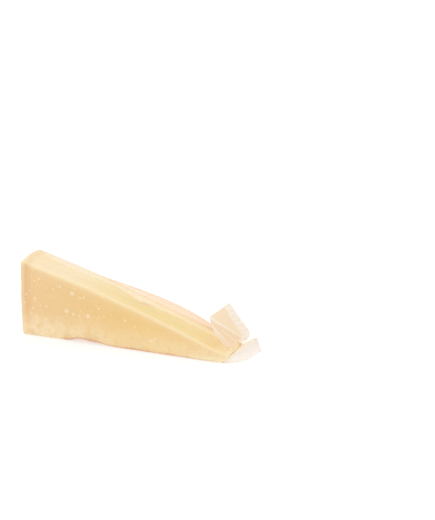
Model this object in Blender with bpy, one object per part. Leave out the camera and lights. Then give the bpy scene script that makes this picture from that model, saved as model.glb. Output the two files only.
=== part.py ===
"""A wedge of hard grating cheese, sealed in its own clear bag and lying on its long cut side.

While it is modelled, X runs from the rind to the tip, Y from the front cut face to the back one, and Z up,
from the foot of the rind's front corner. The finished solid is then moved onto the middle of its underside.
"""

import math

import bmesh
import bpy
from mathutils import Matrix, Vector, noise

MM = 0.001

# The wedge, whose length is the radius of the wheel that it was cut from
LENGTH = 207 * MM
RIND_HEIGHT = 72 * MM
TIP_HEIGHT = 8 * MM
THICKNESS = 39.7 * MM
EDGE_ROUND = 1.8 * MM
TOP_BOW_FRONT = 4.4 * MM
TOP_BOW_BACK = 3.1 * MM

# The rind end is the wheel's rim, convex up and across, and stands a little askew
RIND_SET = 1.5 * MM
RIND_BULGE = 0.9 * MM
RIND_DOME = 1.8 * MM
RIND_DOME_LATE = 1.6
RIND_LEAN = 0.8 * MM
RIND_SKEW = 2.0 * MM
TIP_LEAN = 1.4 * MM

# The crumbled foot of the front face: (distance from the rind, lift, half width)
CRUMBLED = (
    (35 * MM, 0.8 * MM, 5 * MM),
    (57 * MM, 2.6 * MM, 8 * MM),
    (72 * MM, 2.0 * MM, 16 * MM),
    (207 * MM, 1.5 * MM, 9 * MM),
)
CRUMBLE_DEPTH = 11 * MM
CRUMB_BAND = 17 * MM
CRUMB_RELIEF = 0.9 * MM
CRUMB_PITCH = 9 * MM
FACE_RELIEF = 0.3 * MM
FACE_PITCH = 24 * MM

# Loose film that stands off the back top edge
TENT_START = 66 * MM
TENT_END = 186 * MM
TENT_HEIGHT = 5.8 * MM
TENT_LATE = 1.6
TENT_FOOT = 0.62

# The sealed end of the bag, folded up from the tip: side views of its front and its back edge, as (X, Z)
FILM = 1.0 * MM
TAB_FRONT_EDGE = ((204, 4.5), (206.5, 9.5), (202.5, 17.5), (198.0, 24.4), (194.2, 30.5), (191.6, 36.5), (190, 43.4))
TAB_BACK_EDGE = ((204, 4.5), (208.5, 9.5), (212, 15), (212.4, 20.6), (206, 28.5), (199, 37), (192.4, 45.2))
TAB_FRONT_Y = (7 * MM, 0.6 * MM)
TAB_BACK_Y = (38.5 * MM, 39.7 * MM)
TAB_CURL = 0.6 * MM

# The spare film beyond the tip: it rises from the tip's front foot to a crease behind, and falls to the table
TAIL_ROOT = 203 * MM
TAIL_REACH = 221.3 * MM
TAIL_SPLAY = 2 * MM
TAIL_FRONT_CUT = 9 * MM
TAIL_CORNER_CUT = 12 * MM
TAIL_BACK = 46.5 * MM
TAIL_LIP = 1.0 * MM
CREASE_SHARE = (0.13, 0.75)
CREASE_HEIGHT = (3.1 * MM, 12.5 * MM)

# Mesh counts
STATIONS = 52
SIDE_ROWS = 13
TOP_ROWS = 9
BOTTOM_SHARES = (0.07, 0.15, 0.26, 0.42, 0.6, 0.78, 0.93)
CORNER_STEPS = 3
CAP_SHARES = (0.72, 0.42, 0.14)
SHEET_STEPS = 14

# Finish of the bag, as the cheese shows through it
PACK_COLOUR = (0.79, 0.56, 0.29, 1.0)
PACK_ROUGHNESS = 0.35


def clamp(value):
    return min(max(value, 0.0), 1.0)


def smooth(value):
    share = clamp(value)
    return share * share * (3 - 2 * share)


def hump(value, centre, half_width):
    return math.exp(-(((value - centre) / half_width) ** 2))


def mix(first, second, share):
    return first + (second - first) * share


def clear_scene():
    for item in list(bpy.data.objects):
        bpy.data.objects.remove(item, do_unlink=True)


def pack_material():
    material = bpy.data.materials.new("cheese_in_film")
    material.use_nodes = True
    surface = material.node_tree.nodes["Principled BSDF"]
    surface.inputs["Base Color"].default_value = PACK_COLOUR
    surface.inputs["Roughness"].default_value = PACK_ROUGHNESS
    surface.inputs["Metallic"].default_value = 0.0
    return material


def film_lift(x, across):
    """How far the loose film stands above the cheese, at a share of the thickness from the front."""
    along = (x - TENT_START) / (TENT_END - TENT_START)
    if not 0 < along < 1:
        return 0.0
    crest = TENT_HEIGHT * math.sin(math.pi * along**TENT_LATE) ** 0.7
    return crest * smooth((across - TENT_FOOT) / (1 - TENT_FOOT))


def top_height(x, across):
    """The top cut face, bowed up along its length, with the loose film above it."""
    run = clamp(x / LENGTH)
    bow = mix(TOP_BOW_FRONT, TOP_BOW_BACK, across)
    return mix(RIND_HEIGHT, TIP_HEIGHT, run) + bow * math.sin(math.pi * run) ** 0.9 + film_lift(x, across)


def foot_height(x, y):
    """How far crumbs have left the front foot short of the table."""
    lift = sum(rise * hump(x, centre, half_width) for centre, rise, half_width in CRUMBLED)
    return lift * smooth(1 - y / CRUMBLE_DEPTH)


def rind_x(across, up):
    lean = RIND_SET + RIND_LEAN * up + RIND_SKEW * across
    bulge = RIND_BULGE * math.sin(math.pi * clamp(up))
    dome = RIND_DOME * math.sin(math.pi * clamp(across) ** RIND_DOME_LATE)
    return -lean - bulge - dome


def tip_x(across, up):
    return LENGTH - TIP_LEAN * (1 - up)


def relief(point, above_foot):
    """Waves and crumbs of the cut face, in metres along its normal."""
    waves = FACE_RELIEF * noise.noise(point / FACE_PITCH)
    crumbs = CRUMB_RELIEF * noise.noise(point / CRUMB_PITCH) * smooth(1 - above_foot / CRUMB_BAND)
    return waves + crumbs


def corner(centre_y, centre_up, radius_y, radius_up, start):
    """Points on a quarter turn of an ellipse, without its two ends, from the angle where it starts."""
    points = []
    for step in range(1, CORNER_STEPS + 1):
        angle = start + math.pi / 2 * step / (CORNER_STEPS + 1)
        points.append((centre_y + radius_y * math.cos(angle), centre_up + radius_up * math.sin(angle)))
    return points


def section_loop(height):
    """The outline of one cross-section as (across, up) shares, counter-clockwise from the front foot."""
    round_y = EDGE_ROUND / THICKNESS
    round_up = min(EDGE_ROUND / height, 0.3)
    sides = [round_up + (1 - 2 * round_up) * step / (SIDE_ROWS - 1) for step in range(SIDE_ROWS)]
    tops = [1 - round_y - (1 - 2 * round_y) * step / (TOP_ROWS - 1) for step in range(TOP_ROWS)]
    loop = [(share, 0.0) for share in BOTTOM_SHARES]
    loop += corner(1 - round_y, round_up, round_y, round_up, -math.pi / 2)
    loop += [(1.0, up) for up in sides]
    loop += corner(1 - round_y, 1 - round_up, round_y, round_up, 0.0)
    loop += [(across, 1.0) for across in tops]
    loop += corner(round_y, 1 - round_up, round_y, round_up, math.pi / 2)
    loop += [(0.0, up) for up in reversed(sides)]
    loop += corner(round_y, round_up, round_y, round_up, math.pi)
    return loop


def body_point(share, across, up, inset_x=0.0):
    """A point of the wedge, from shares of its length, thickness and height."""
    x = mix(rind_x(across, up) + inset_x, tip_x(across, up) - inset_x, share)
    y = THICKNESS * across
    foot = foot_height(x, y)
    z = mix(foot, top_height(x, across), up)
    point = Vector((x, y, z))
    if up > 0 and across in (0.0, 1.0):
        point.y += relief(point, z - foot) * (-1 if across == 0.0 else 1)
    return point


def end_rings(share):
    """Rings that round an end's edge and then close over its face, from the face's middle outwards."""
    height = RIND_HEIGHT if share == 0 else TIP_HEIGHT
    loop = section_loop(height)
    turn = min(EDGE_ROUND, height / 4)
    insets = [(0.0, turn)]
    insets += [(turn * (1 - math.sin(angle)), turn * (1 - math.cos(angle))) for angle in (1.05, 0.52)]
    rings = []
    for back, inset in insets:
        narrow = 1 - 2 * inset / THICKNESS
        low = 1 - 2 * inset / height
        shrunk = [(0.5 + (across - 0.5) * narrow, 0.5 + (up - 0.5) * low) for across, up in loop]
        rings.append([body_point(share, across, up, back) for across, up in shrunk])
    narrow = 1 - 2 * turn / THICKNESS
    low = 1 - 2 * turn / height
    faces = []
    for part in reversed(CAP_SHARES):
        shrunk = [(0.5 + (across - 0.5) * narrow * part, 0.5 + (up - 0.5) * low * part) for across, up in loop]
        faces.append([body_point(share, across, up) for across, up in shrunk])
    return faces + rings


def wedge_rings():
    """All cross-sections from the middle of the rind to the middle of the tip."""
    rings = end_rings(0)
    turn = EDGE_ROUND
    for station in range(STATIONS + 1):
        share = station / STATIONS
        loop = section_loop(mix(RIND_HEIGHT, TIP_HEIGHT, share))
        rings.append([body_point(share, across, up, turn) for across, up in loop])
    return rings + list(reversed(end_rings(1)))


def new_object(name, mesh_builder):
    mesh = bpy.data.meshes.new(name)
    mesh_builder.normal_update()
    mesh_builder.to_mesh(mesh)
    mesh_builder.free()
    made = bpy.data.objects.new(name, mesh)
    bpy.context.scene.collection.objects.link(made)
    return made


def skin(rings):
    """A closed mesh through rings of equal count, with a fan over each end."""
    builder = bmesh.new()
    rows = [[builder.verts.new(point) for point in ring] for ring in rings]
    for near, far in zip(rows, rows[1:]):
        for index in range(len(near)):
            after = (index + 1) % len(near)
            builder.faces.new((near[index], near[after], far[after], far[index]))
    for row in (rows[0], rows[-1]):
        middle = builder.verts.new(sum((vert.co for vert in row), Vector()) / len(row))
        for index in range(len(row)):
            builder.faces.new((row[index], row[(index + 1) % len(row)], middle))
    bmesh.ops.recalc_face_normals(builder, faces=builder.faces)
    return builder


def along_path(points, share):
    """A point on a smooth curve through the given (X, Z) points, which are in millimetres."""
    reach = share * (len(points) - 1)
    index = min(int(reach), len(points) - 2)
    step = reach - index
    before = points[max(index - 1, 0)]
    after = points[min(index + 2, len(points) - 1)]
    place = []
    for axis in (0, 1):
        near = points[index][axis]
        far = points[index + 1][axis]
        leave = (far - before[axis]) / 2
        arrive = (after[axis] - near) / 2
        bend = 3 * (far - near) - 2 * leave - arrive
        turn = 2 * (near - far) + leave + arrive
        place.append((near + leave * step + bend * step**2 + turn * step**3) * MM)
    return place


def tab_point(share, across):
    """The sealed tab, from its root at the tip to its free edge, and from its front to its back."""
    front_x, front_z = along_path(TAB_FRONT_EDGE, share)
    back_x, back_z = along_path(TAB_BACK_EDGE, share)
    front_y = mix(*TAB_FRONT_Y, smooth(share * 1.6))
    back_y = mix(*TAB_BACK_Y, smooth(share * 1.6))
    curl = TAB_CURL * math.sin(math.pi * across) * share
    return Vector((mix(front_x, back_x, across) + curl, mix(front_y, back_y, across), mix(front_z, back_z, across)))


def sealed_tab():
    builder = bmesh.new()
    shares = [step / SHEET_STEPS for step in range(SHEET_STEPS + 1)]
    rows = [[builder.verts.new(tab_point(share, across)) for across in shares] for share in shares]
    for near, far in zip(rows, rows[1:]):
        for index in range(SHEET_STEPS):
            builder.faces.new((near[index], near[index + 1], far[index + 1], far[index]))
    tab = new_object("sealed_tab", builder)
    wall = tab.modifiers.new("film_wall", "SOLIDIFY")
    wall.thickness = FILM
    wall.offset = 0.0
    wall.use_even_offset = True
    return tab


def tail_point(share, across, top):
    """The spare film beyond the tip, at a share of its reach and of its width."""
    front_y = 0.8 * MM + TAIL_FRONT_CUT * share**1.4 + TAIL_CORNER_CUT * share**6
    back_y = mix(THICKNESS - EDGE_ROUND, TAIL_BACK, smooth(share * 1.3))
    y = mix(front_y, back_y, across)
    x = mix(TAIL_ROOT, TAIL_REACH + TAIL_SPLAY * (across - 0.5), share)
    if not top:
        return Vector((x, y, 0.0))
    crease_share = mix(*CREASE_SHARE, across)
    crease = mix(*CREASE_HEIGHT, across)
    if share < crease_share:
        return Vector((x, y, crease * mix(0.55, 1, smooth(share / crease_share))))
    fall = (1 - share) / (1 - crease_share)
    return Vector((x, y, TAIL_LIP + (crease - TAIL_LIP) * fall**1.4))


def spare_tail():
    """A closed body from rings that run outwards over the film and back along the table."""
    shares = [step / SHEET_STEPS for step in range(SHEET_STEPS + 1)]
    rings = []
    for share in shares:
        over = [tail_point(share, across, True) for across in shares]
        under = [tail_point(share, across, False) for across in reversed(shares)]
        rings.append(over + under)
    return new_object("spare_tail", skin(rings))


def fuse(target, others):
    """One union of the target with the others, which are then removed."""
    helpers = bpy.data.collections.new("fused_pieces")
    bpy.context.scene.collection.children.link(helpers)
    for other in others:
        bpy.context.scene.collection.objects.unlink(other)
        helpers.objects.link(other)
    union = target.modifiers.new("fuse", "BOOLEAN")
    union.operation = "UNION"
    union.operand_type = "COLLECTION"
    union.collection = helpers
    bpy.context.view_layer.update()
    bpy.context.view_layer.objects.active = target
    bpy.ops.object.modifier_apply(modifier=union.name)
    for other in others:
        bpy.data.objects.remove(other, do_unlink=True)
    bpy.data.collections.remove(helpers)


def stand_on_origin(part):
    """Moves the mesh so that the origin is the middle of its underside."""
    places = [vertex.co for vertex in part.data.vertices]
    lowest = [min(place[axis] for place in places) for axis in range(3)]
    highest = [max(place[axis] for place in places) for axis in range(3)]
    shift = Vector((-(lowest[0] + highest[0]) / 2, -(lowest[1] + highest[1]) / 2, -lowest[2]))
    part.data.transform(Matrix.Translation(shift))


def wedge_pack():
    pack = new_object("wedge_pack", skin(wedge_rings()))
    fuse(pack, [sealed_tab(), spare_tail()])
    stand_on_origin(pack)
    pack.data.materials.clear()
    pack.data.materials.append(pack_material())
    pack.data.shade_smooth()
    pack.data.set_sharp_from_angle(angle=math.radians(40))
    return pack


clear_scene()
wedge_pack()
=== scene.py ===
"""A wedge of hard cheese in its clear bag: paste and rind, the tight film, its loose back edge,
the sealed tab and the spare film at the tip, on a pale studio table.

Sizes are in metres. Shapes are worked out in the wedge's own measure, X from the rind to the tip,
Y from the front cut face to the back one and Z up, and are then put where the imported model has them.
"""

import math
import random

import bpy
import numpy as np
from mathutils import Matrix, Vector, noise


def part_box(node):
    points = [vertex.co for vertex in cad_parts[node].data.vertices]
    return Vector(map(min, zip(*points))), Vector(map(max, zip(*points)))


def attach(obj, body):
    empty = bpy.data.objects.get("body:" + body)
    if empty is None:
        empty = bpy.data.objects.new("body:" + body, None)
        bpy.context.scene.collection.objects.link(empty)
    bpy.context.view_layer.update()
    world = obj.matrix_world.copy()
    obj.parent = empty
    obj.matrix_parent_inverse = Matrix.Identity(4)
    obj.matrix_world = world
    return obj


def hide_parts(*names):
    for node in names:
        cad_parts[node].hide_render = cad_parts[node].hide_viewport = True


bl_info = {
    "name": "Cheese Wedge in Clear Film",
    "version": (1, 0, 0),
    "blender": (4, 5, 0),
    "location": "3D View > Sidebar > Cheese",
    "description": "Builds a wedge of hard cheese, its clear bag and a pale studio round it",
    "category": "Object",
}

MM = 0.001
NODE = "wedge_pack"
BODY = "root"

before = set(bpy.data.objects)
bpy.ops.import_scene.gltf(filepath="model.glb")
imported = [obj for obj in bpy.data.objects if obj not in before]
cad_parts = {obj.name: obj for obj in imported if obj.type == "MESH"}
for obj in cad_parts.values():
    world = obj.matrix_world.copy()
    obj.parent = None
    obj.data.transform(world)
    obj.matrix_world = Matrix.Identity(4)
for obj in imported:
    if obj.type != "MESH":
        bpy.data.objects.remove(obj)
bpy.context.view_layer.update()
PACK_LOW, PACK_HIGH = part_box(NODE)

# The crumbled foot of the front face: (distance from the rind, lift, half width)
CRUMBLED = (
    (35 * MM, 0.8 * MM, 5 * MM),
    (57 * MM, 2.6 * MM, 8 * MM),
    (72 * MM, 2.0 * MM, 16 * MM),
    (207 * MM, 1.5 * MM, 9 * MM),
)
# How far behind the front face that lift ends, and how far up the crumbs reach
CRUMBLE_DEPTH = 11 * MM
CRUMB_BAND = 17 * MM

# Side views of the tab's front and back edge, as (X, Z) in millimetres
TAB_FRONT_EDGE = (
    (204, 4.5), (206.5, 9.5), (202.5, 17.5), (198.0, 24.4), (194.2, 30.5), (191.6, 36.5), (190, 43.4),
)
TAB_BACK_EDGE = (
    (204, 4.5), (208.5, 9.5), (212, 15), (212.4, 20.6), (206, 28.5), (199, 37), (192.4, 45.2),
)
# Those edges in Y, at the root and at the free edge
TAB_FRONT_Y = (7 * MM, 0.6 * MM)
TAB_BACK_Y = (38.5 * MM, 39.7 * MM)
# The tab's bend at its free edge, and its soft waves: (height, size)
TAB_CURL = 0.6 * MM
TAB_WAVES = (0.35 * MM, 11 * MM)

# Creases of the tab: (start, end, width, height), where both ends are (share of length, share of width)
TAB_CREASES = (
    ((0.97, 0.03), (0.28, 0.82), 0.030, 0.50 * MM),
    ((0.90, 0.00), (0.20, 0.45), 0.022, -0.40 * MM),
    ((0.80, 0.02), (0.12, 0.22), 0.025, 0.45 * MM),
    ((0.60, 0.25), (0.15, 0.60), 0.020, 0.30 * MM),
    ((0.45, 0.55), (0.12, 0.86), 0.022, -0.35 * MM),
)
# The height from which a crease shows as a full white line, a painted highlight
SHARP_CREASE = 0.5 * MM

# The spare film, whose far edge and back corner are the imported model's own limits in X and Y
TAIL_ROOT = 203 * MM
TAIL_REACH = 221.3 * MM
TAIL_SPLAY = 2 * MM
TAIL_FRONT = 0.8 * MM
TAIL_FRONT_CUT = 9 * MM
TAIL_CORNER_CUT = 12 * MM
TAIL_ROOT_BACK = 37.9 * MM
TAIL_BACK = 46.5 * MM
TAIL_LIP = 1.0 * MM
TAIL_STRIPE = 0.08 * MM
TAIL_STRIPES = 3.6
CREASE_SHARE = (0.13, 0.75)
CREASE_HEIGHT = (3.1 * MM, 12.5 * MM)
PLACE = Vector((PACK_HIGH.x - TAIL_REACH - TAIL_SPLAY / 2, PACK_HIGH.y - TAIL_BACK, PACK_LOW.z))

# The larger crystals of the front face: (distance from the rind, height, radius) in millimetres
LARGE_CRYSTALS = (
    (12, 54, 0.9), (17, 57, 1.0), (12, 37, 1.3), (38, 52, 1.1), (51, 47, 1.7), (24, 31, 1.0),
    (18, 31, 0.8), (8, 22, 0.9), (14, 19, 1.0), (23, 18, 1.1), (45, 29, 1.8), (52, 27, 1.3),
    (58, 26, 0.9), (67, 27, 1.7), (78, 36, 1.0), (105, 28, 1.1), (132, 12, 1.3), (136, 15, 1.0),
)
# The scattered crystals: least and largest radius in millimetres, and how deep their centres lie
CRYSTAL_RADII = (0.35, 0.95)
CRYSTAL_SET = 0.3 * MM

# Where the film on top stops clinging: (distance from the rind in millimetres, share of the thickness)
LIFT_LINE = (
    (0, 0.75), (50, 0.62), (80, 0.71), (98, 0.61), (112, 0.51), (124, 0.55), (138, 0.61), (182, 0.62),
    (207, 0.55),
)

# Stretches along X in which something sets in or ends: (place, width)
TIP_STARTS = (125 * MM, 65 * MM)
RIND_END_STOPS = (115 * MM, 75 * MM)
RIND_EDGE_PASSED = (6 * MM, 16 * MM)
# Where the painted light against the shade near the tip sets in
TIP_LIFT_STARTS = (190 * MM, 10 * MM)
# Where the painted glare band behind the lift line fades
GLARE_BAND_FADES = (110 * MM, 60 * MM)
# Where the painted contact shade along the foot sets in and stops
FOOT_SHADE_STARTS = (36 * MM, 8 * MM)
FOOT_SHADE_STOPS = (206 * MM, 24 * MM)
WRINKLES_START = (120 * MM, 80 * MM)
# Where the film's painted warm tint sets in and widens
WARM_FILM_STARTS = (58 * MM, 16 * MM)
WARM_FILM_WIDENS = (75 * MM, 55 * MM)
GLARE_STOPS = (85 * MM, 50 * MM)
TIGHT_FILM_STOPS = (204 * MM, 4 * MM)

# Places along X that something is centred on: (place, half width)
RIPE_CORE = (125 * MM, 72 * MM)
# Where the painted bounce light along the foot is strongest, by the rind
BOUNCE_RIND_FOOT = (4 * MM, 45 * MM)
LIFT_FOLD = (115 * MM, 5 * MM)

# Widths of the bands of colour that follow the edges, the foot and the rind; along the edges and the foot
# they are painted highlight, glare and bounce light
SHARP_EDGE_HIGHLIGHT = 2.8 * MM
SOFT_EDGE_HIGHLIGHT = 8 * MM
FOOT_BAND = 24 * MM
TIP_FOOT_GLARE = 11 * MM
RIND_FADE = 8 * MM
RIM_FADE = 3.6 * MM

# How unevenly deep the rind's colours reach: (depth, size)
RIND_WANDER = (0.7 * MM, 12 * MM)
# The most that the fine relief may stand out, which keeps it under the film
RELIEF_LIMIT = 0.25 * MM

# Point layers of the film, and the values of a point that shows none of them
FILM_LAYERS = ("haze", "fold", "pale", "gloss")
PLAIN = (0.0, 0.0, 0.0, 0.0)


def length_prop(name, description, default, lowest=0.0):
    return bpy.props.FloatProperty(
        name=name, description=description, default=default, min=lowest, unit="LENGTH", precision=5
    )


def share_prop(name, description, default):
    return bpy.props.FloatProperty(
        name=name, description=description, default=default, min=0.0, max=1.0, subtype="FACTOR"
    )


def colour_prop(name, description, default):
    return bpy.props.FloatVectorProperty(
        name=name, description=description, default=default, size=3, min=0.0, max=1.0, subtype="COLOR"
    )


def count_prop(name, description, default, highest):
    return bpy.props.IntProperty(name=name, description=description, default=default, min=4, max=highest)


def power_prop(name, description, default):
    return bpy.props.FloatProperty(
        name=name, description=description, default=default, min=0.0, unit="POWER"
    )


def angle_prop(name, description, degrees):
    return bpy.props.FloatProperty(
        name=name, description=description, default=math.radians(degrees), subtype="ANGLE"
    )


class CheeseWedgeSettings(bpy.types.PropertyGroup):
    """Sizes and colours of the cheese itself"""

    length: length_prop("Length", "From the rind to the tip", 207 * MM)
    rind_height: length_prop("Rind height", "Height of the rind end", 72 * MM)
    tip_height: length_prop("Tip height", "Height of the blunt tip", 8 * MM)
    thickness: length_prop("Thickness", "Between the two cut faces", 39.7 * MM)
    edge_round: length_prop("Edge round", "Radius of the long edges", 1.8 * MM)
    bow_front: length_prop("Front bow", "Rise of the front top edge", 4.4 * MM)
    bow_back: length_prop("Back bow", "Rise of the back top edge", 3.1 * MM)
    rind_rim: length_prop("Rind rim", "Depth of the paler outside of the rind", 4.0 * MM)
    rind_band: length_prop("Rind depth", "Depth at which the darker tint under the rind ends", 13.5 * MM)
    crag: length_prop("Crag depth", "Depth of the crumbs broken from the foot", 1.3 * MM)
    grain: length_prop("Grain", "Depth of the fine grain of the cut", 0.14 * MM)
    crystals: count_prop("Crystals", "Number of small pale crystals in the faces", 420, 2000)
    stations: count_prop("Stations", "Cross-sections along the length", 300, 600)
    paste: colour_prop("Paste", "Main colour of the cut paste", (0.87, 0.615, 0.30))
    paste_deep: colour_prop("Deep paste", "Colour of the paste's darker clouds", (0.83, 0.55, 0.25))
    core: colour_prop("Core", "Colour of the riper middle of the face", (0.868, 0.587, 0.203))
    top_cut: colour_prop("Top cut", "Colour of the yellower cut on top", (0.805, 0.55, 0.045))
    # Colour of the film's glare, painted onto the top's back and rind end
    painted_top_glare: colour_prop("Pale top", "Colour of the top's paler back and rind end", (0.93, 0.785, 0.565))
    # The foot colour paints the contact shade along the foot and the crease shadow on top
    foot: colour_prop("Foot", "Colour of the moist foot line and of the top's crease", (0.76, 0.44, 0.235))
    rind: colour_prop("Rind", "Colour of the band under the rind", (0.82, 0.51, 0.235))
    rind_face: colour_prop("Rind face", "Colour of the rind's own surface", (0.90, 0.67, 0.38))
    crystal: colour_prop("Crystal", "Colour of the pale crystals", (0.96, 0.79, 0.57))
    # Colour of painted light on the cheese: the front edge's highlight, light at the tip and back edge,
    # bounce along the foot and glare at the tip's foot; also the rind's paler outside
    painted_light_and_rim: colour_prop("Dry edge", "Colour of the paler cut edges and foot", (0.97, 0.82, 0.54))


class ClearFilmSettings(bpy.types.PropertyGroup):
    """Sizes and finish of the clear bag"""

    clearance: length_prop("Clearance", "Between the film and the cheese", 0.3 * MM)
    loose_start: length_prop("Loose start", "Where the film leaves the back top edge", 66 * MM)
    loose_end: length_prop("Loose end", "Where the film meets the edge again", 186 * MM)
    loose_rise: length_prop("Loose rise", "Most that the film stands off", 5.8 * MM)
    wall: length_prop("Wall", "Thickness of the sealed tab", 0.35 * MM)
    wrinkle: length_prop("Wrinkle", "Height of the fine wrinkles", 0.22 * MM)
    crimp: length_prop("Crimp", "Height of the ribs across the seal", 0.3 * MM)
    crimp_pitch: length_prop("Crimp pitch", "Distance between the ribs", 4.4 * MM, 0.5 * MM)
    seal_width: length_prop("Seal width", "Width of the white sealed band", 12 * MM)
    tight_haze: share_prop("Tight haze", "Milkiness where the film lies tight", 0.01)
    loose_haze: share_prop("Loose haze", "Milkiness where the film stands loose", 0.72)
    seal_haze: share_prop("Seal haze", "Milkiness of the sealed band", 1.0)
    # The veil's warmth is painted bounce light from the cheese; the film itself is clear
    veil: colour_prop("Veil", "Colour of the film's milkiness", (0.955, 0.87, 0.68))
    # Painted warm bounce and shade in the film's folds and loose film
    fold: colour_prop("Fold", "Warmer colour of the milkiness in folds and loose film", (0.92, 0.70, 0.48))
    # Also the colour of the painted glare and of the highlights on rims, creases and ripples
    pale: colour_prop("Pale", "Whitest colour of the milkiness, as in the seal", (0.938, 0.885, 0.845))


class PaleStudioSettings(bpy.types.PropertyGroup):
    """Table, light and camera"""

    table: colour_prop("Table", "Colour of the table top", (0.5, 0.5, 0.5))
    table_glow: share_prop("Table glow", "Light that the lit table top gives off", 0.56)
    surround: bpy.props.FloatProperty(
        name="Surround", description="Light from all round", default=0.93, min=0.0
    )
    key: power_prop("Key light", "Power of the large light overhead", 4.0)
    fill: power_prop("Fill light", "Power of the light from the front left", 1.5)
    azimuth: angle_prop("Azimuth", "Camera's turn round the pack", 24.019)
    elevation: angle_prop("Elevation", "Camera's height above the table", 17.533)
    distance: length_prop("Distance", "From the camera to the point that it looks at", 2.7)


def clamp(value):
    return min(max(value, 0.0), 1.0)


def smooth(value):
    share = clamp(value)
    return share * share * (3 - 2 * share)


def fade_in(value, start, width):
    """From 0 at the start to 1 at one width beyond it."""
    return smooth((value - start) / width)


def fade_out(value, end, width):
    """From 1 at one width before the end to 0 at the end."""
    return smooth((end - value) / width)


def hump(value, centre, half_width):
    return math.exp(-(((value - centre) / half_width) ** 2))


def mix(first, second, share):
    return first + (second - first) * share


def level(points, reach):
    """The height of a line through the given (reach, height) points."""
    for (near, low), (far, high) in zip(points, points[1:]):
        if reach <= far:
            return mix(low, high, smooth((reach - near) / (far - near)))
    return points[-1][1]


def along_path(points, share):
    """A point on a smooth curve through the given (X, Z) points, which are in millimetres."""
    reach = share * (len(points) - 1)
    index = min(int(reach), len(points) - 2)
    step = reach - index
    before = points[max(index - 1, 0)]
    after = points[min(index + 2, len(points) - 1)]
    place = []
    for axis in (0, 1):
        near = points[index][axis]
        far = points[index + 1][axis]
        leave = (far - before[axis]) / 2
        arrive = (after[axis] - near) / 2
        bend = 3 * (far - near) - 2 * leave - arrive
        turn = 2 * (near - far) + leave + arrive
        place.append((near + leave * step + bend * step**2 + turn * step**3) * MM)
    return place


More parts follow.
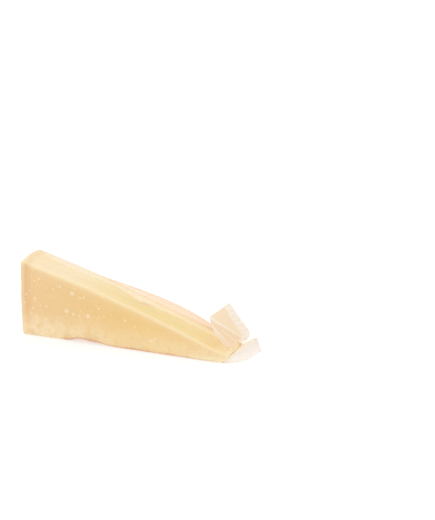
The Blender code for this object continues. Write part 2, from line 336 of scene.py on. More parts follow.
class WedgeForm:
    """The wedge's shape as formulas, from the sizes in the settings."""

    RIND_SET = 1.5 * MM
    RIND_BULGE = 0.9 * MM
    RIND_DOME = 1.8 * MM
    RIND_DOME_LATE = 1.6
    RIND_LEAN = 0.8 * MM
    RIND_SKEW = 2.0 * MM
    TIP_LEAN = 1.4 * MM
    BOW_FULLNESS = 0.9
    LOOSE_LATE = 1.6
    LOOSE_FULLNESS = 0.7
    LOOSE_FOOT = 0.62
    # Relief of the cut faces: (height, size)
    WAVE = (0.3 * MM, 24 * MM)
    CRUMB = (0.9 * MM, 9 * MM)
    FOOT_INSET = 0.6
    MOST_ROUND = 0.3
    END_ANGLES = (math.pi / 2, 1.2, 0.8, 0.4)

    def __init__(self, wedge, film, rows, corner_steps, inset, loose):
        self.length = wedge.length
        self.rind_height = wedge.rind_height
        self.tip_height = wedge.tip_height
        self.thickness = wedge.thickness
        self.edge_round = wedge.edge_round
        self.bow = (wedge.bow_front, wedge.bow_back)
        self.loose = (film.loose_start, film.loose_end, film.loose_rise if loose else 0.0)
        self.rows = rows
        self.corner_steps = corner_steps
        self.inset = inset

    def film_lift(self, x, across):
        start, end, rise = self.loose
        along = (x - start) / (end - start)
        if rise == 0.0 or not 0 < along < 1:
            return 0.0
        crest = rise * math.sin(math.pi * along**self.LOOSE_LATE) ** self.LOOSE_FULLNESS
        return crest * smooth((across - self.LOOSE_FOOT) / (1 - self.LOOSE_FOOT))

    def top_height(self, x, across):
        run = clamp(x / self.length)
        bow = mix(*self.bow, across) * math.sin(math.pi * run) ** self.BOW_FULLNESS
        return mix(self.rind_height, self.tip_height, run) + bow + self.film_lift(x, across)

    def foot_height(self, x, y):
        lift = sum(rise * hump(x, centre, half_width) for centre, rise, half_width in CRUMBLED)
        return lift * smooth(1 - y / CRUMBLE_DEPTH)

    def rind_x(self, across, up):
        lean = self.RIND_SET + self.RIND_LEAN * up + self.RIND_SKEW * across
        bulge = self.RIND_BULGE * math.sin(math.pi * clamp(up))
        dome = self.RIND_DOME * math.sin(math.pi * clamp(across) ** self.RIND_DOME_LATE)
        return -lean - bulge - dome

    def tip_x(self, up):
        return self.length - self.TIP_LEAN * (1 - up)

    def relief(self, point, above_foot):
        waves = self.WAVE[0] * noise.noise(point / self.WAVE[1])
        crumbs = self.CRUMB[0] * noise.noise(point / self.CRUMB[1])
        return waves + crumbs * smooth(1 - above_foot / CRUMB_BAND)

    def corner(self, centre_y, centre_up, radius_y, radius_up, start):
        points = []
        for step in range(1, self.corner_steps + 1):
            angle = start + math.pi / 2 * step / (self.corner_steps + 1)
            points.append((centre_y + radius_y * math.cos(angle), centre_up + radius_up * math.sin(angle)))
        return points

    def section_loop(self, height):
        """The outline of a cross-section as (across, up) shares, counter-clockwise from the front foot."""
        side_rows, top_rows, foot_rows = self.rows
        round_y = self.edge_round / self.thickness
        round_up = min(self.edge_round / height, self.MOST_ROUND)
        sides = [round_up + (1 - 2 * round_up) * step / (side_rows - 1) for step in range(side_rows)]
        tops = [1 - round_y - (1 - 2 * round_y) * step / (top_rows - 1) for step in range(top_rows)]
        loop = [(mix(round_y, 1 - round_y, step / (foot_rows - 1)), 0.0) for step in range(foot_rows)]
        loop += self.corner(1 - round_y, round_up, round_y, round_up, -math.pi / 2)
        loop += [(1.0, up) for up in sides]
        loop += self.corner(1 - round_y, 1 - round_up, round_y, round_up, 0.0)
        loop += [(across, 1.0) for across in tops]
        loop += self.corner(round_y, 1 - round_up, round_y, round_up, math.pi / 2)
        loop += [(0.0, up) for up in reversed(sides)]
        loop += self.corner(round_y, round_up, round_y, round_up, math.pi)
        return loop

    def point(self, share, across, up, back=0.0):
        """A point of the skin, from shares of its length, thickness and height."""
        inset = self.inset
        x = mix(self.rind_x(across, up) + inset + back, self.tip_x(up) - inset - back, share)
        y = mix(inset, self.thickness - inset, across)
        foot = self.foot_height(x, y) + inset * self.FOOT_INSET
        z = mix(foot, self.top_height(x, across) - inset, up)
        place = Vector((x, y, z))
        if up > 0 and across in (0.0, 1.0):
            place.y += self.relief(place, z - foot) * (-1 if across == 0.0 else 1)
        return place

    def end_rings(self, share, face_shares):
        """Rings that close an end, from the middle of its face outwards over its rounded edge."""
        height = self.rind_height if share == 0 else self.tip_height
        loop = self.section_loop(height)
        turn = min(self.edge_round, height / 4)
        rings = [(part, 0.0, turn) for part in face_shares]
        for angle in self.END_ANGLES:
            rings.append((1.0, turn * (1 - math.sin(angle)), turn * (1 - math.cos(angle))))
        places = []
        for part, back, in_by in rings:
            narrow = part * (1 - 2 * in_by / self.thickness)
            low = part * (1 - 2 * in_by / height)
            ring = [(0.5 + (across - 0.5) * narrow, 0.5 + (up - 0.5) * low) for across, up in loop]
            places.append([self.point(share, across, up, back) for across, up in ring])
        return places

    def rings(self, stations, face_shares):
        places = self.end_rings(0, face_shares)
        for station in range(stations + 1):
            share = station / stations
            loop = self.section_loop(mix(self.rind_height, self.tip_height, share))
            places.append([self.point(share, across, up, self.edge_round) for across, up in loop])
        return places + list(reversed(self.end_rings(1, face_shares)))


def rows_of_faces(rows, count, closed):
    """Quads between neighbouring rows of points, each of the same count."""
    faces = []
    for row in range(rows - 1):
        near = row * count
        far = near + count
        for index in range(count if closed else count - 1):
            after = (index + 1) % count
            faces.append((near + index, near + after, far + after, far + index))
    return faces


def closed_skin(rings):
    """Points and faces of a closed mesh through the rings, with a fan over each end."""
    count = len(rings[0])
    points = [point for ring in rings for point in ring]
    faces = rows_of_faces(len(rings), count, True)
    for ring, first in ((rings[0], 0), (rings[-1], len(points) - count)):
        middle = len(points)
        points.append(sum(ring, Vector()) / count)
        turn = 1 if first else -1
        for index in range(count):
            near, after = first + index, first + (index + 1) % count
            faces.append((near, after, middle)[::turn])
    return points, faces


def outward(points, faces):
    """Unit normals of the points, as an array."""
    places = np.array(points)
    normals = np.zeros_like(places)
    for size in (3, 4):
        ids = np.array([face for face in faces if len(face) == size])
        if not len(ids):
            continue
        across = places[ids[:, 2]] - places[ids[:, 0]]
        along = places[ids[:, -1]] - places[ids[:, 1]]
        cross = np.cross(across, along)
        for corner in range(size):
            np.add.at(normals, ids[:, corner], cross)
    return normals / np.maximum(np.linalg.norm(normals, axis=1, keepdims=True), 1e-12)


def add_piece(name, points, faces, material, layers):
    """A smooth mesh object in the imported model's frame, with named values on its points."""
    mesh = bpy.data.meshes.new(name)
    mesh.from_pydata([tuple(point) for point in points], [], faces)
    for layer_name, values in layers.items():
        layer = mesh.attributes.new(layer_name, "FLOAT", "POINT")
        layer.data.foreach_set("value", np.asarray(values, np.float32))
    mesh.transform(Matrix.Translation(PLACE))
    mesh.materials.append(material)
    mesh.shade_smooth()
    mesh.validate()
    piece = bpy.data.objects.new(name, mesh)
    bpy.context.scene.collection.objects.link(piece)
    return piece


def join_pack(piece):
    """The piece rides with the pack and stands for its solid, which is hidden."""
    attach(piece, BODY)
    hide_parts(NODE)


def add_film_piece(name, points, faces, material, finishes):
    """A piece of the bag, which casts no shadow, with the values of FILM_LAYERS for each point."""
    piece = add_piece(name, points, faces, material, dict(zip(FILM_LAYERS, zip(*finishes))))
    piece.visible_shadow = False
    join_pack(piece)


def new_material(name):
    material = bpy.data.materials.new(name)
    material.use_nodes = True
    material.node_tree.nodes.clear()
    return material


def set_surface(material, surface):
    output = material.node_tree.nodes.new("ShaderNodeOutputMaterial")
    material.node_tree.links.new(surface.outputs[0], output.inputs["Surface"])


def add_node(tree, kind, inputs, **choices):
    """A shader node with its inputs set to values or linked to sockets."""
    made = tree.nodes.new(kind)
    for choice, value in choices.items():
        setattr(made, choice, value)
    for key, value in inputs.items():
        if isinstance(value, bpy.types.NodeSocket):
            tree.links.new(value, made.inputs[key])
        else:
            made.inputs[key].default_value = value
    return made


def maths(tree, operation, *values, clamped=False):
    inputs = dict(enumerate(values))
    return add_node(tree, "ShaderNodeMath", inputs, operation=operation, use_clamp=clamped).outputs[0]


def mix_shaders(tree, share, first, second):
    return add_node(tree, "ShaderNodeMixShader", {0: share, 1: first.outputs[0], 2: second.outputs[0]})


def layer_value(tree, name):
    return add_node(tree, "ShaderNodeAttribute", {}, attribute_name=name).outputs["Fac"]


def blend_colours(tree, share, first, second):
    """A colour between two, where each may be a socket or three numbers."""
    inputs = {0: share}
    for index, colour in ((6, first), (7, second)):
        inputs[index] = colour if isinstance(colour, bpy.types.NodeSocket) else (*colour, 1.0)
    return add_node(tree, "ShaderNodeMix", inputs, data_type="RGBA").outputs[2]


def tint(tree, layer_name, colour, over):
    """The colour with another laid over it where the point layer says so."""
    return blend_colours(tree, layer_value(tree, layer_name), colour, over)


def remap(tree, value, low, high, to_low, to_high):
    inputs = {"Value": value, "From Min": low, "From Max": high, "To Min": to_low, "To Max": to_high}
    return add_node(tree, "ShaderNodeMapRange", inputs).outputs["Result"]


def cloud(tree, place, scale, detail, roughness=0.5):
    inputs = {"Vector": place, "Scale": scale, "Detail": detail, "Roughness": roughness}
    return add_node(tree, "ShaderNodeTexNoise", inputs).outputs["Fac"]


def bump(tree, height, distance, strength, below=None):
    inputs = {"Height": height, "Distance": distance, "Strength": strength}
    if below is not None:
        inputs["Normal"] = below
    return add_node(tree, "ShaderNodeBump", inputs).outputs["Normal"]


# Noise textures of the cheese: (scale, detail, roughness)
PASTE_CLOUDS = (34.0, 3.0, 0.6)
PASTE_FLECKS = (210.0, 6.0, 0.7)
PALE_SPECKLE = (520.0, 5.0, 0.7)
RIND_MOTTLE = (160.0, 5.0, 0.65)
CUT_PITS = (900.0, 6.0, 0.7)


def cheese_material(wedge):
    """Dense grainy paste with pale crystals and a darker band under the rind, with painted glare,
    highlights, bounce light and shade laid over its colour.
    """
    material = new_material("grainy_cheese_paste")
    tree = material.node_tree
    place = add_node(tree, "ShaderNodeTexCoord", {}).outputs["Object"]
    clouds = remap(tree, cloud(tree, place, *PASTE_CLOUDS), 0.36, 0.66, 0.0, 0.6)
    flecks = remap(tree, cloud(tree, place, *PASTE_FLECKS), 0.36, 0.66, 0.0, 0.4)
    colour = blend_colours(tree, maths(tree, "ADD", clouds, flecks), wedge.paste_deep, wedge.paste)
    colour = tint(tree, "ripe_core", colour, wedge.core)
    colour = tint(tree, "top_cut", colour, wedge.top_cut)
    # Painted glare of the film over the top's back and rind end
    colour = tint(tree, "painted_top_glare", colour, wedge.painted_top_glare)
    speckle = remap(tree, cloud(tree, place, *PALE_SPECKLE), 0.56, 0.74, 0.0, 0.32)
    colour = blend_colours(tree, speckle, colour, wedge.crystal)
    # Painted highlight, bounce light and glare, and the rind's paler outside
    colour = tint(tree, "painted_light_and_rim", colour, wedge.painted_light_and_rim)
    colour = tint(tree, "rind_band", colour, wedge.rind)
    mottle = remap(tree, cloud(tree, place, *RIND_MOTTLE), 0.35, 0.7, 0.0, 1.0)
    rind_tone = blend_colours(tree, mottle, wedge.rind, wedge.rind_face)
    colour = tint(tree, "rind_face", colour, rind_tone)
    colour = tint(tree, "crystal", colour, wedge.crystal)
    # Painted contact shade along the foot and painted crease shadow on top
    colour = tint(tree, "painted_shade_line", colour, wedge.foot)
    pits = bump(tree, cloud(tree, place, *CUT_PITS), 0.0004, 0.45)
    grain = bump(tree, mottle, 0.0006, 0.25, pits)
    surface = add_node(
        tree,
        "ShaderNodeBsdfPrincipled",
        {
            "Base Color": colour,
            "Roughness": remap(tree, mottle, 0.0, 1.0, 0.42, 0.6),
            "Specular IOR Level": 0.35,
            "Subsurface Weight": 0.12,
            "Subsurface Radius": (1.0, 0.8, 0.65),
            "Subsurface Scale": 0.003,
            "Normal": grain,
        },
    )
    set_surface(material, surface)
    return material


# How the film mirrors and turns milky where it is seen at a slant
MIRROR_SHARES = (0.04, 0.5)
MIRROR_POWER = 5.0
RIM_POWER = 4.0
RIM_HAZE = 0.35
SHINE_ROUGHNESS = 0.22
SEEN_THROUGH = 0.35


def film_material(film, name, wave_scale, wave_depth):
    """Clear film: its points say how glossy and milky it is, where its milkiness carries painted warm
    bounce and fold shade, and where it is whiter, as in the seal and as painted glare and highlights.
    """
    material = new_material(name)
    tree = material.node_tree
    place = add_node(tree, "ShaderNodeTexCoord", {}).outputs["Object"]
    ripple = bump(tree, cloud(tree, place, wave_scale, 2.0, 0.5), wave_depth, 0.35)
    slant = add_node(tree, "ShaderNodeLayerWeight", {"Blend": 0.5, "Normal": ripple}).outputs["Facing"]
    gloss = layer_value(tree, "gloss")
    slant_mirror = remap(tree, maths(tree, "POWER", slant, MIRROR_POWER), 0.0, 1.0, *MIRROR_SHARES)
    mirror = maths(tree, "MULTIPLY", slant_mirror, gloss)
    rim = maths(tree, "MULTIPLY", maths(tree, "POWER", slant, RIM_POWER), gloss)
    haze = maths(tree, "MULTIPLY_ADD", rim, RIM_HAZE, layer_value(tree, "haze"), clamped=True)
    clear = add_node(tree, "ShaderNodeBsdfTransparent", {"Color": (1.0, 1.0, 1.0, 1.0)})
    shine_inputs = {"Color": (1.0, 1.0, 1.0, 1.0), "Roughness": SHINE_ROUGHNESS, "Normal": ripple}
    shine = add_node(tree, "ShaderNodeBsdfGlossy", shine_inputs)
    # Painted warm bounce and fold shade, then the seal's whiteness with painted glare and highlights
    veil_colour = tint(tree, "fold", film.veil, film.fold)
    veil_colour = tint(tree, "pale", veil_colour, film.pale)
    front_veil = add_node(tree, "ShaderNodeBsdfDiffuse", {"Color": veil_colour, "Normal": ripple})
    through_veil = add_node(tree, "ShaderNodeBsdfTranslucent", {"Color": veil_colour, "Normal": ripple})
    veil = mix_shaders(tree, SEEN_THROUGH, front_veil, through_veil)
    milky = mix_shaders(tree, haze, clear, veil)
    set_surface(material, mix_shaders(tree, mirror, milky, shine))
    return material


def crystal_places(wedge, form):
    """Centres and radii of the crystals: the larger ones of the front face, then a seeded scatter."""
    draw = random.Random(7)
    spots = [(x * MM, CRYSTAL_SET, z * MM, radius * MM) for x, z, radius in LARGE_CRYSTALS]
    for _ in range(wedge.crystals):
        x = wedge.length * draw.random() ** 1.7
        across = draw.choice((0.0, 1.0, draw.random()))
        height = form.top_height(x, across)
        up = 1.0 if 0.0 < across < 1.0 else draw.random() ** 1.3
        radius = mix(*CRYSTAL_RADII, draw.random() ** 2.2) * MM
        spots.append((x, mix(CRYSTAL_SET, wedge.thickness - CRYSTAL_SET, across), up * height, radius))
    return spots


def crystal_layer(points, spots):
    """How much of a crystal shows at each point, from 0 to 0.75."""
    places = np.array(points)
    shown = np.zeros(len(places))
    for x, y, z, radius in spots:
        near = np.abs(places[:, 0] - x) < 2.2 * radius
        away = np.linalg.norm(places[near] - (x, y, z), axis=1) / radius
        shown[near] = np.maximum(shown[near], np.clip(1.55 - away, 0, 1) ** 1.2)
    return shown * 0.75


def crag_depth(place, foot_share, depth):
    """How far crumbs have broken out of the foot of the front face at a point."""
    patch = smooth((noise.noise(place / (21 * MM)) + 0.22) * 2.6)
    gaps, _ = noise.voronoi(place / (4.6 * MM))
    crumb = smooth((gaps[1] - gaps[0]) * 2.4)
    fine = noise.fractal(place / (2.6 * MM), 0.9, 2.1, 4)
    return depth * patch * foot_share * (0.75 - 0.6 * crumb - 0.35 * fine)


def near_rind(point):
    return fade_out(point.x, *RIND_END_STOPS)


def past_rind_edge(point):
    return fade_in(point.x, *RIND_EDGE_PASSED)


def off_line(point, across):
    """How far a point of the top lies behind the line where the film stops clinging, as a share."""
    return across - level(LIFT_LINE, point.x / MM)


def painted_top_glare_share(point, across):
    """How strong the film's glare painted onto the top is: most of it by the rind, and a band behind the
    line further on.
    """
    off = off_line(point, across)
    band = smooth(off * 8 + 0.4) * (1 - 0.22 * fade_in(point.x, *GLARE_BAND_FADES))
    # Painted crease shade: the glare drops where the film folds as it lifts off
    fold = 0.5 * hump(off, -0.005, 0.02) * hump(point.x, *LIFT_FOLD)
    streak = 0.12 * noise.noise(Vector((point.x / (50 * MM), point.y / (6 * MM), 0.7)))
    return clamp(max(band, 0.6 * near_rind(point) + 0.1) + streak - fold)


def painted_crease_shadow(point, across):
    """The short dark crease where the film starts to lift off the top, painted as shadow on the cheese, as
    a share.
    """
    along = point.x / MM - 116.7
    return hump(across - 0.53 - 0.0108 * along, 0.0, 0.05) * hump(along, 0.0, 7.0)


class CutSpot:
    """A point of the cheese's skin, with the shares that its relief and its colours go by."""

    def __init__(self, point, normal, form):
        self.point = point
        self.facing = Vector(normal)
        self.across = clamp(point.y / form.thickness)
        self.up = clamp(point.z / form.top_height(point.x, self.across))
        self.above_foot = point.z - form.foot_height(point.x, point.y)
        self.to_front = smooth(-self.facing.y * 1.4)
        self.to_top = smooth(self.facing.z * 1.6)
        self.by_tip = fade_in(point.x, *TIP_STARTS)
        self.by_foot = smooth(1.2 - self.above_foot / FOOT_BAND)


def cut_relief(spot, wedge):
    """How far a point moves outwards by the grain of the cut, the rind's waves and the broken foot."""
    point = spot.point
    foot_share = smooth(1.15 - point.z / CRUMB_BAND) * spot.to_front * smooth(point.x / (14 * MM))
    foot_share *= 1 - 0.7 * spot.by_tip
    grain = noise.fractal(point / (3.2 * MM), 0.8, 2.0, 4) * wedge.grain
    rind_wave = noise.noise(point / (9 * MM)) * 0.25 * MM * clamp(-spot.facing.x)
    crag = crag_depth(point, foot_share, wedge.crag) if foot_share > 0 else 0.0
    return min(grain + rind_wave - crag, RELIEF_LIMIT)


def rind_shares(spot, form, wedge):
    """Shares of the darker tint under the rind and of the rind's paler outside."""
    wander = noise.noise(spot.point / RIND_WANDER[1]) * RIND_WANDER[0]
    depth = spot.point.x - form.rind_x(spot.across, spot.up) + wander
    in_band = fade_out(depth, wedge.rind_band, RIND_FADE)
    in_band *= smooth((depth - wedge.rind_rim) / RIM_FADE + 0.5)
    in_band *= 1 - 0.45 * spot.to_top
    in_rim = smooth((wedge.rind_rim - depth) / RIM_FADE + 0.5)
    return in_band * (0.8 - 0.45 * spot.by_foot), in_rim


def painted_light_and_rim_share(spot, form, in_rim):
    """Where the cut is painted paler as light: a painted highlight along its front top edge, where the cut
    is also paler, painted light against the shade at the tip and along the back edge, painted bounce light
    along its foot, painted glare at the tip's foot, and the rind's paler outside.
    """
    point = spot.point
    from_edge = math.hypot(point.y, point.z - form.top_height(point.x, 0.0))
    # Painted highlight along the front top edge, where the cut is also paler
    front_edge_highlight = 0.7 * hump(from_edge, 0.0, SHARP_EDGE_HIGHLIGHT)
    front_edge_highlight += 0.24 * hump(from_edge, 0.0, SOFT_EDGE_HIGHLIGHT) * spot.to_front
    # Painted light against the shade on the tip's end and near the tip
    tip_end_lift = smooth(spot.facing.x * 1.5)
    tip_end_lift += 0.4 * fade_in(point.x, *TIP_LIFT_STARTS) * (1 - spot.to_front)
    # Painted light against the shade along the back top edge and by the rind
    back_edge = 0.6 * fade_in(spot.across, 0.5, 0.3) * near_rind(point) * past_rind_edge(point)
    back_edge = max(back_edge, 0.7 * fade_in(spot.across, 0.9, 0.08))
    back_edge *= smooth(spot.facing.z * 3 + 0.4)
    # Painted bounce light from the table along the foot, in patches
    patch = 0.4 + 0.6 * smooth(noise.fractal(point / (7 * MM), 0.9, 2.0, 3) + 0.75)
    foot = spot.by_foot * spot.to_front * patch
    foot *= 0.45 + 0.36 * hump(point.x, *BOUNCE_RIND_FOOT)
    # Painted glare at the foot near the tip
    tip_foot_glare = spot.by_tip * smooth(1 - spot.above_foot / TIP_FOOT_GLARE) * spot.to_front
    return clamp(max(front_edge_highlight, back_edge, foot, tip_foot_glare, 0.8 * tip_end_lift, 0.25 * in_rim))


def foot_contact_shade(spot):
    """The painted warm contact shade along the foot, which is ragged above and fades at both ends."""
    ragged = (2.1 + 1.5 * noise.noise(spot.point / (13 * MM))) * MM * (1 - 0.35 * spot.by_tip)
    contact_shade = smooth(1.4 - spot.above_foot / ragged) * fade_in(spot.point.x, *FOOT_SHADE_STARTS)
    contact_shade *= (1 - 0.3 * spot.by_tip) * fade_out(spot.point.x, *FOOT_SHADE_STOPS)
    return contact_shade


def shape_cheese(points, normals, form, wedge):
    """Moves the points by the fine relief of a cut cheese and returns the values that colour it."""
    names = ("rind_band", "rind_face", "painted_light_and_rim", "top_cut", "painted_top_glare", "painted_shade_line", "ripe_core")
    layers = {name: [] for name in names}
    moved = []
    for point, normal in zip(points, normals):
        spot = CutSpot(point, normal, form)
        moved.append(point + spot.facing * cut_relief(spot, wedge))
        in_band, in_rim = rind_shares(spot, form, wedge)
        # Painted shadow of the film's crease on the top
        crease_shadow = painted_crease_shadow(point, spot.across) * spot.to_top
        on_top = spot.to_top * (1 - crease_shadow)
        layers["rind_band"].append(in_band)
        layers["rind_face"].append(smooth(-spot.facing.x * 2.2))
        layers["painted_light_and_rim"].append(painted_light_and_rim_share(spot, form, in_rim))
        layers["top_cut"].append(on_top * 0.9)
        layers["painted_top_glare"].append(on_top * painted_top_glare_share(point, spot.across))
        # Painted contact shade along the foot, and the crease's painted shadow
        layers["painted_shade_line"].append(max(foot_contact_shade(spot), 0.5 * crease_shadow))
        layers["ripe_core"].append(0.8 * hump(point.x, *RIPE_CORE) * spot.to_front)
    return moved, layers


class CHEESE_PACK_OT_paste(bpy.types.Operator):
    """Builds the wedge of cheese with its rind, crystals and crumbled foot"""

    bl_idname = "cheese_pack.paste"
    bl_label = "Cheese"

    def execute(self, context):
        wedge = context.scene.cheese_wedge
        film = context.scene.cheese_film
        form = WedgeForm(wedge, film, rows=(104, 46, 22), corner_steps=4, inset=film.clearance, loose=False)
        points, faces = closed_skin(form.rings(wedge.stations, (0.03, 0.2, 0.4, 0.6, 0.8, 0.92)))
        normals = outward(points, faces)
        moved, layers = shape_cheese(points, normals, form, wedge)
        layers["crystal"] = crystal_layer(points, crystal_places(wedge, form))
        cheese = add_piece("cheese_wedge", moved, faces, cheese_material(wedge), layers)
        join_pack(cheese)
        return {"FINISHED"}


def film_wrinkles(point, across, normal, film):
    """Fine wrinkles that run along the pack, deepest on the loose film, with a fold where it lifts off."""
    drawn = Vector((point.x / (34 * MM), point.y / (3.6 * MM), point.z / (3.6 * MM)))
    off = off_line(point, across)
    loose = smooth(off * 8) * fade_in(point.x, film.loose_start, 20 * MM)
    strength = 0.03 + 0.35 * fade_in(point.x, *WRINKLES_START) + 0.35 * loose
    fold = 1.8 * hump(point.x, *LIFT_FOLD)
    wave = strength * noise.fractal(drawn, 0.9, 2.0, 3) + fold * hump(off, 0.0, 0.05)
    return film.wrinkle * wave * smooth(abs(normal[2]) * 1.5)


def painted_warm_tint(point, across):
    """Where the tight film stands off behind the cheese and takes a painted warm tint of the cheese's
    bounce light, as a share.
    """
    start = mix(0.87, 0.77, fade_in(point.x, *WARM_FILM_WIDENS))
    return fade_in(across, start, 0.06) * fade_in(point.x, *WARM_FILM_STARTS)


def film_haze(point, across, normal, film):
    """How milky the tight film is: clear on the faces, faintly milky on top, most where it stands loose; on
    top the milkiness is partly painted glare.
    """
    behind = 0.14 * smooth(off_line(point, across) * 7)
    behind += 0.42 * near_rind(point) * fade_in(across, 0.7, 0.2)
    streak = 0.08 * noise.noise(Vector((point.x / (60 * MM), point.y / (9 * MM), 0.7)))
    milky = max(behind, 0.03 + streak + 0.2 * near_rind(point), 1.1 * painted_warm_tint(point, across))
    return clamp(film.tight_haze + film.loose_haze * milky * smooth(normal[2] * 2))


def film_glare(point, across):
    """Where the tight film's milkiness is painted whiter as glare: by the rind, most of all along its back
    edge.
    """
    by_rind = fade_out(point.x, *GLARE_STOPS) * past_rind_edge(point)
    return 0.9 * by_rind * (0.5 + 0.5 * fade_in(across, 0.5, 0.3))


def tight_film_finish(point, across, normal, film):
    """The tight film's values of FILM_LAYERS at a point: it is dull at the tip and along the foot."""
    haze = film_haze(point, across, normal, film)
    gloss = fade_out(point.x, *TIGHT_FILM_STOPS) * smooth(point.z / MM)
    return haze, painted_warm_tint(point, across), film_glare(point, across), gloss


class CHEESE_PACK_OT_tight_film(bpy.types.Operator):
    """Builds the film that hugs the cheese and stands loose along its back top edge"""

    bl_idname = "cheese_pack.tight_film"
    bl_label = "Tight film"

    STATIONS = 220

    def execute(self, context):
        wedge = context.scene.cheese_wedge
        film = context.scene.cheese_film
        form = WedgeForm(wedge, film, rows=(36, 70, 10), corner_steps=5, inset=0.0, loose=True)
        points, faces = closed_skin(form.rings(self.STATIONS, (0.03, 0.35, 0.7)))
        moved, finishes = [], []
        for point, normal in zip(points, outward(points, faces)):
            across = clamp(point.y / form.thickness)
            moved.append(point + Vector(normal) * film_wrinkles(point, across, normal, film))
            finishes.append(tight_film_finish(point, across, normal, film))
        material = film_material(film, "clear_film", 70.0, 0.002)
        add_film_piece("tight_film", moved, faces, material, finishes)
        return {"FINISHED"}


def tab_point(share, across):
    """The sealed tab, from its root at the tip to its free edge, and from its front to its back."""
    front_x, front_z = along_path(TAB_FRONT_EDGE, share)
    back_x, back_z = along_path(TAB_BACK_EDGE, share)
    front_y = mix(*TAB_FRONT_Y, smooth(share * 1.6))
    back_y = mix(*TAB_BACK_Y, smooth(share * 1.6))
    curl = TAB_CURL * math.sin(math.pi * across) * share
    x = mix(front_x, back_x, across) + curl
    return Vector((x, mix(front_y, back_y, across), mix(front_z, back_z, across)))


def crease(share, across, start, end, width):
    """A ridge along the straight line between two (share, across) points of a sheet."""
    run = Vector((end[0] - start[0], end[1] - start[1]))
    off = Vector((share - start[0], across - start[1]))
    along = clamp(off.dot(run) / run.length_squared)
    away = (off - run * along).length
    return math.exp(-((away / width) ** 2)) * (1 - 0.5 * along)


def tab_folds(share, across):
    """The height of the tab's creases at a point."""
    return sum(rise * crease(share, across, start, end, width) for start, end, width, rise in TAB_CREASES)


def seal_share(share, across, film):
    """Where the tab is sealed: a band along its back edge, from above its root."""
    seal_start = 1 - film.seal_width / (TAB_BACK_Y[1] - TAB_FRONT_Y[1])
    return fade_in(across, seal_start, 0.03) * fade_in(share, 0.30, 0.05)


def seal_rib(share, across, point, tab_length, film):
    """The uneven ribs that are crimped across the seal, from -1 to 1."""
    rib = math.sin(2 * math.pi * (share + 0.06 * across) * tab_length / film.crimp_pitch)
    rib *= 0.4 + 0.6 * smooth(noise.noise(point / (6 * MM)) * 2 + 0.7)
    return rib


def tab_finish(share, across, folds, sealed, rib, film):
    """The tab's values of FILM_LAYERS: clear at its root, milky further out and whitest in the seal, with
    painted shade under its fold and between the seal's ribs, and painted highlights on the ribs, creases
    and rim.
    """
    ridge = clamp(folds / SHARP_CREASE)
    # Painted shade on the lower facets under the fold
    under_fold_shade = smooth((0.9 - 0.731 * (across - 0.08) - share) / 0.06 + 0.5)
    # Painted highlight along the tab's rim
    rim = max(hump(share, 1.0, 0.015), hump(across, 0.0, 0.02), hump(across, 1.0, 0.015))
    rim *= fade_in(share, 0.1, 0.2)
    haze = 1.4 * film.loose_haze * fade_in(share, 0.14, 0.24)
    haze += 0.2 * max(ridge, rim) * smooth(share / 0.3)
    # Painted shade between the seal's ribs
    shade_between_ribs = sealed * (0.3 - 0.2 * rib)
    fold = (1 - sealed) * (0.55 + 0.3 * under_fold_shade) * (1 - ridge) + shade_between_ribs
    # Whiteness of the seal, with painted highlights on its ribs, the rim and the creases
    pale = max(sealed * (0.55 + 0.35 * rib), 0.7 * rim, 0.5 * ridge)
    return clamp(mix(haze, film.seal_haze, sealed)), fold, pale, fade_in(share, 0.12, 0.2)


class CHEESE_PACK_OT_sealed_tab(bpy.types.Operator):
    """Builds the heat-sealed end of the bag, which stands up from the tip"""

    bl_idname = "cheese_pack.sealed_tab"
    bl_label = "Sealed tab"

    STEPS = 110

    def execute(self, context):
        film = context.scene.cheese_film
        shares = [step / self.STEPS for step in range(self.STEPS + 1)]
        back_edge = [tab_point(share, 1.0) for share in shares]
        tab_length = sum((near - far).length for near, far in zip(back_edge, back_edge[1:]))
        points = [tab_point(share, across) for share in shares for across in shares]
        normals = outward(points, rows_of_faces(len(shares), len(shares), False))
        rings, finishes = [], []
        for row, share in enumerate(shares):
            over, under = [], []
            for column, across in enumerate(shares):
                index = row * len(shares) + column
                point, normal = points[index], Vector(normals[index])
                sealed = seal_share(share, across, film)
                rib = seal_rib(share, across, point, tab_length, film)
                folds = tab_folds(share, across)
                soft = TAB_WAVES[0] * noise.noise(point / TAB_WAVES[1])
                place = point + normal * (film.crimp * rib * sealed + folds * (1 - sealed) + soft)
                over.append(place + normal * film.wall / 2)
                under.append(place - normal * film.wall / 2)
                finishes.append(tab_finish(share, across, folds, sealed, rib, film))
            rings.append(over + under[::-1])
            finishes.extend([PLAIN] * len(shares))
        places, faces = closed_skin(rings)
        finishes.extend([PLAIN] * 2)
        material = film_material(film, "sealed_film", 120.0, 0.0012)
        add_film_piece("sealed_tab", places, faces, material, finishes)
        return {"FINISHED"}


def tail_point(share, across, top):
    """The spare film beyond the tip, at a share of its reach and of its width."""
    front_y = TAIL_FRONT + TAIL_FRONT_CUT * share**1.4 + TAIL_CORNER_CUT * share**6
    back_y = mix(TAIL_ROOT_BACK, TAIL_BACK, smooth(share * 1.3))
    y = mix(front_y, back_y, across)
    x = mix(TAIL_ROOT, TAIL_REACH + TAIL_SPLAY * (across - 0.5), share)
    if not top:
        return Vector((x, y, 0.0))
    crease_share = mix(*CREASE_SHARE, across)
    height = mix(*CREASE_HEIGHT, across)
    if share < crease_share:
        return Vector((x, y, height * mix(0.55, 1, smooth(share / crease_share))))
    fall = (1 - share) / (1 - crease_share)
    return Vector((x, y, TAIL_LIP + (height - TAIL_LIP) * fall**1.4))


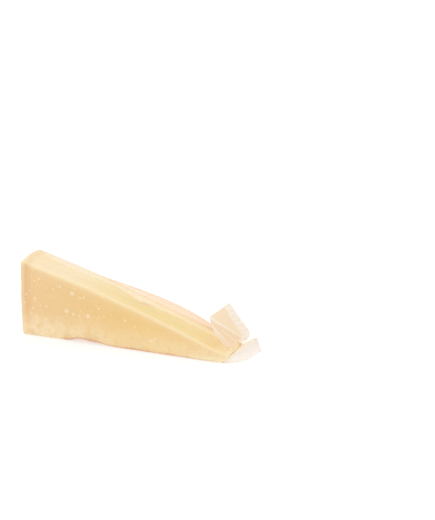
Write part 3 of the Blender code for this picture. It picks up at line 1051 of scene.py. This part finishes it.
def tail_finish(share, across, past, stripe, film):
    """The spare film's values of FILM_LAYERS: painted warm shade at its root, whiter past the crease, and
    painted highlights on its ripples, crease and rim.
    """
    # Painted highlight along the crease
    on_crease = hump(past, 0.0, 0.06) * smooth(across / 0.3)
    rim = hump(share, 1.0, 0.02)
    # Painted warm shade at the root by the cheese's tip
    root = hump(share, 0.0, 0.07)
    pale = mix(0.35, 0.85, smooth(past / 0.4 + 0.4)) + 0.2 * max(stripe, on_crease, rim)
    return clamp(1.4 * film.loose_haze), 0.35 + 0.65 * root, clamp(pale) * (1 - root), 0.7


class CHEESE_PACK_OT_spare_film(bpy.types.Operator):
    """Builds the spare film beyond the tip, which rises to a crease and runs down to the table"""

    bl_idname = "cheese_pack.spare_film"
    bl_label = "Spare film"

    STEPS = 80

    def execute(self, context):
        film = context.scene.cheese_film
        shares = [step / self.STEPS for step in range(self.STEPS + 1)]
        rings, finishes = [], []
        for share in shares:
            over = []
            for across in shares:
                crease_share = mix(*CREASE_SHARE, across)
                past = (share - crease_share) / (1 - crease_share)
                wander = 0.12 * noise.noise(Vector((share * 2, across * 3, 0.3)))
                stripe = math.sin(2 * math.pi * (past + wander) * TAIL_STRIPES)
                inside = smooth(past / 0.15) * smooth((1 - share) / 0.1) * smooth((1 - across) / 0.08)
                place = tail_point(share, across, True)
                place.z += TAIL_STRIPE * stripe * inside * smooth(across / 0.08)
                over.append(place)
                finishes.append(tail_finish(share, across, past, stripe * inside, film))
            under = [tail_point(share, across, False) for across in reversed(shares)]
            rings.append(over + under)
            finishes.extend([PLAIN] * len(shares))
        points, faces = closed_skin(rings)
        finishes.extend([PLAIN] * 2)
        material = film_material(film, "spare_film", 110.0, 0.0003)
        add_film_piece("spare_film", points, faces, material, finishes)
        return {"FINISHED"}


def area_light(name, power, size, place, target):
    data = bpy.data.lights.new(name, "AREA")
    data.energy = power
    data.shape = "DISK"
    data.size = size
    light = bpy.data.objects.new(name, data)
    light.location = place
    light.rotation_euler = (Vector(target) - Vector(place)).to_track_quat("-Z", "Y").to_euler()
    bpy.context.scene.collection.objects.link(light)


def table_material(studio):
    """Pale matt table top with the faintest unevenness, which also glows and so lights the cheese from
    below and thins its shadows.
    """
    material = new_material("pale_table")
    tree = material.node_tree
    place = add_node(tree, "ShaderNodeTexCoord", {}).outputs["Object"]
    tone = remap(tree, cloud(tree, place, 6.0, 3.0), 0.3, 0.7, 0.985, 1.0)
    colour = blend_colours(tree, tone, (0.0, 0.0, 0.0), studio.table)
    matt = add_node(tree, "ShaderNodeBsdfDiffuse", {"Color": colour})
    glow_inputs = {"Color": (1.0, 1.0, 1.0, 1.0), "Strength": studio.table_glow}
    glow = add_node(tree, "ShaderNodeEmission", glow_inputs)
    surface = add_node(tree, "ShaderNodeAddShader", {0: matt.outputs[0], 1: glow.outputs[0]})
    material.cycles.emission_sampling = "NONE"
    set_surface(material, surface)
    return material


class CHEESE_PACK_OT_studio(bpy.types.Operator):
    """Sets up the pale table, the soft light and the camera"""

    bl_idname = "cheese_pack.studio"
    bl_label = "Studio"

    TABLE_HALF = 4.0
    TABLE_DROP = 0.1 * MM
    LIT_POINT = (0.0, 0.0, 0.03)
    OVERHEAD_SIZE = 1.4
    OVERHEAD_PLACE = (-0.15, 0.35, 1.5)
    FRONT_LEFT_SIZE = 1.0
    FRONT_LEFT_PLACE = (-1.1, -1.4, 0.8)
    AIM = Vector((198.3 * MM, 0.0, 98.56 * MM))
    FRAME_HEIGHT = 520
    PIXELS_AT_AIM = 3000

    def execute(self, context):
        studio = context.scene.cheese_studio
        scene = context.scene
        self.lay_table(studio)
        self.light(scene, studio)
        self.set_camera(scene, studio)
        return {"FINISHED"}

    def lay_table(self, studio):
        half = self.TABLE_HALF
        mesh = bpy.data.meshes.new("table_top")
        corners = [(-half, -half), (half, -half), (half, half), (-half, half)]
        mesh.from_pydata([(x, y, PACK_LOW.z - self.TABLE_DROP) for x, y in corners], [], [(0, 1, 2, 3)])
        mesh.materials.append(table_material(studio))
        table = bpy.data.objects.new("table_top", mesh)
        bpy.context.scene.collection.objects.link(table)

    def light(self, scene, studio):
        world = bpy.data.worlds.new("white_surround")
        world.use_nodes = True
        background = world.node_tree.nodes["Background"]
        background.inputs["Color"].default_value = (1.0, 1.0, 1.0, 1.0)
        background.inputs["Strength"].default_value = studio.surround
        scene.world = world
        area_light("overhead", studio.key, self.OVERHEAD_SIZE, self.OVERHEAD_PLACE, self.LIT_POINT)
        area_light("front_left", studio.fill, self.FRONT_LEFT_SIZE, self.FRONT_LEFT_PLACE, self.LIT_POINT)
        scene.view_settings.view_transform = "Standard"
        scene.cycles.transparent_max_bounces = 32

    def set_camera(self, scene, studio):
        turn, rise = studio.azimuth, studio.elevation
        back = Vector((math.sin(turn) * math.cos(rise), -math.cos(turn) * math.cos(rise), math.sin(rise)))
        data = bpy.data.cameras.new("camera")
        data.lens = data.sensor_width * self.PIXELS_AT_AIM / self.FRAME_HEIGHT
        camera = bpy.data.objects.new("camera", data)
        camera.location = PLACE + self.AIM + back * studio.distance
        camera.rotation_euler = (-back).to_track_quat("-Z", "Y").to_euler()
        scene.collection.objects.link(camera)
        scene.camera = camera


PIECE_OPERATORS = (
    CHEESE_PACK_OT_studio,
    CHEESE_PACK_OT_paste,
    CHEESE_PACK_OT_tight_film,
    CHEESE_PACK_OT_sealed_tab,
    CHEESE_PACK_OT_spare_film,
)


class CHEESE_PACK_PT_pieces(bpy.types.Panel):
    """The pieces of the cheese pack, with their sizes and colours"""

    bl_idname = "CHEESE_PACK_PT_pieces"
    bl_label = "Cheese Pack"
    bl_space_type = "VIEW_3D"
    bl_region_type = "UI"
    bl_category = "Cheese"

    def draw(self, context):
        layout = self.layout
        for operator in PIECE_OPERATORS:
            layout.operator(operator.bl_idname)
        for group_name in SETTINGS:
            box = layout.box()
            group = getattr(context.scene, group_name)
            for prop_name in group.bl_rna.properties.keys():
                if prop_name not in ("rna_type", "name"):
                    box.prop(group, prop_name)


SETTINGS = {
    "cheese_wedge": CheeseWedgeSettings,
    "cheese_film": ClearFilmSettings,
    "cheese_studio": PaleStudioSettings,
}
CLASSES = (*SETTINGS.values(), *PIECE_OPERATORS, CHEESE_PACK_PT_pieces)


def register():
    for item in CLASSES:
        bpy.utils.register_class(item)
    for group_name, group in SETTINGS.items():
        setattr(bpy.types.Scene, group_name, bpy.props.PointerProperty(type=group))


def unregister():
    for group_name in SETTINGS:
        delattr(bpy.types.Scene, group_name)
    for item in reversed(CLASSES):
        bpy.utils.unregister_class(item)


def main():
    register()
    bpy.ops.cheese_pack.studio()
    bpy.ops.cheese_pack.paste()
    bpy.ops.cheese_pack.tight_film()
    bpy.ops.cheese_pack.sealed_tab()
    bpy.ops.cheese_pack.spare_film()


if __name__ == "__main__":
    main()
